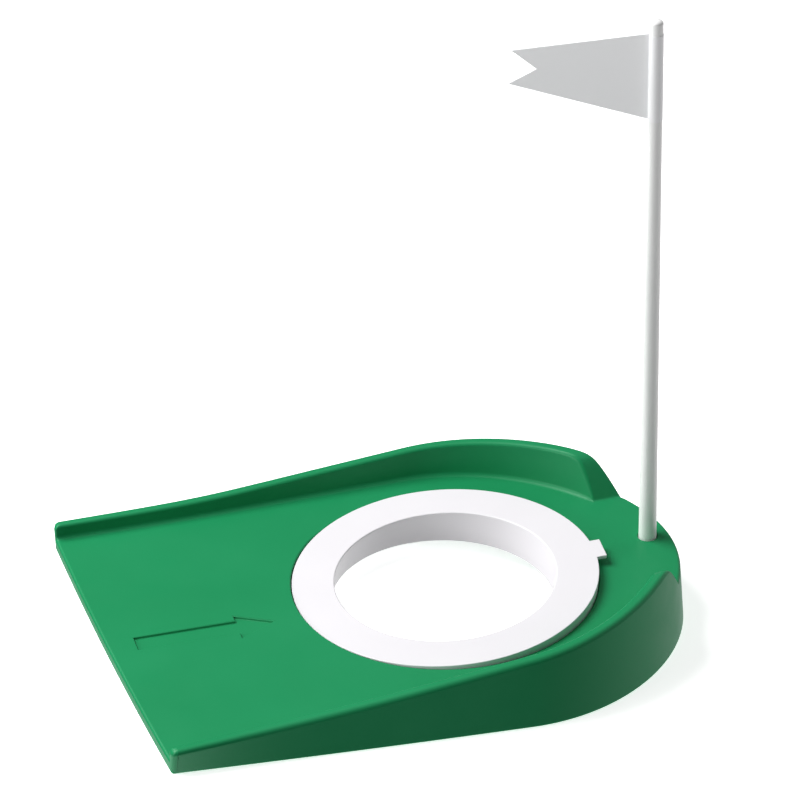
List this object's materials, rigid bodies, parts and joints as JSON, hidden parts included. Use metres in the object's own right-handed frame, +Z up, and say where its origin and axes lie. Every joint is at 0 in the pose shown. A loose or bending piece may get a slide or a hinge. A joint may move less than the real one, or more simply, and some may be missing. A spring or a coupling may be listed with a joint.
{
  "type": "putting cup",
  "caption": "Indoor putting cup: a sloped tray with rims, a drop-in ring round a through hole, and a flagstick with a pennant.",
  "frame": {"origin": "middle of the tray's footprint, on the ground", "axes": "+Z up, +Y from the entry edge towards the flagstick, +X to the right when looking along +Y"},
  "size_m": [0.158, 0.223, 0.2428],
  "materials": {
    "green_plastic": "green moulded plastic with a fine satin grain on the deck and smoother walls",
    "white_plastic": "white moulded plastic, smooth satin",
    "stick_plastic": "white moulded plastic, smooth, slightly glossy",
    "pennant_film": "thin stiff plastic film, off-white and matt"
  },
  "bodies": {
    "base": {"base_tray": "green_plastic"},
    "ring": {"hole_ring": "white_plastic"},
    "stick": {"flagstick": "stick_plastic"},
    "flag": {"pennant": "pennant_film"}
  },
  "joints": [
    {"name": "ring_lift", "type": "slide", "parent": "base", "child": "ring", "axis": [0, 0, 1], "range_m": [0, 0.025]},
    {"name": "flagstick_pull", "type": "slide", "parent": "base", "child": "stick", "axis": [0, -0.075, 0.9972], "range_m": [0, 0.03]},
    {"name": "flag_turn", "type": "hinge", "parent": "stick", "child": "flag", "pos_m": [-0.002, 0.1, 0.02142], "axis": [0, -0.075, 0.9972], "continuous": true}
  ]
}
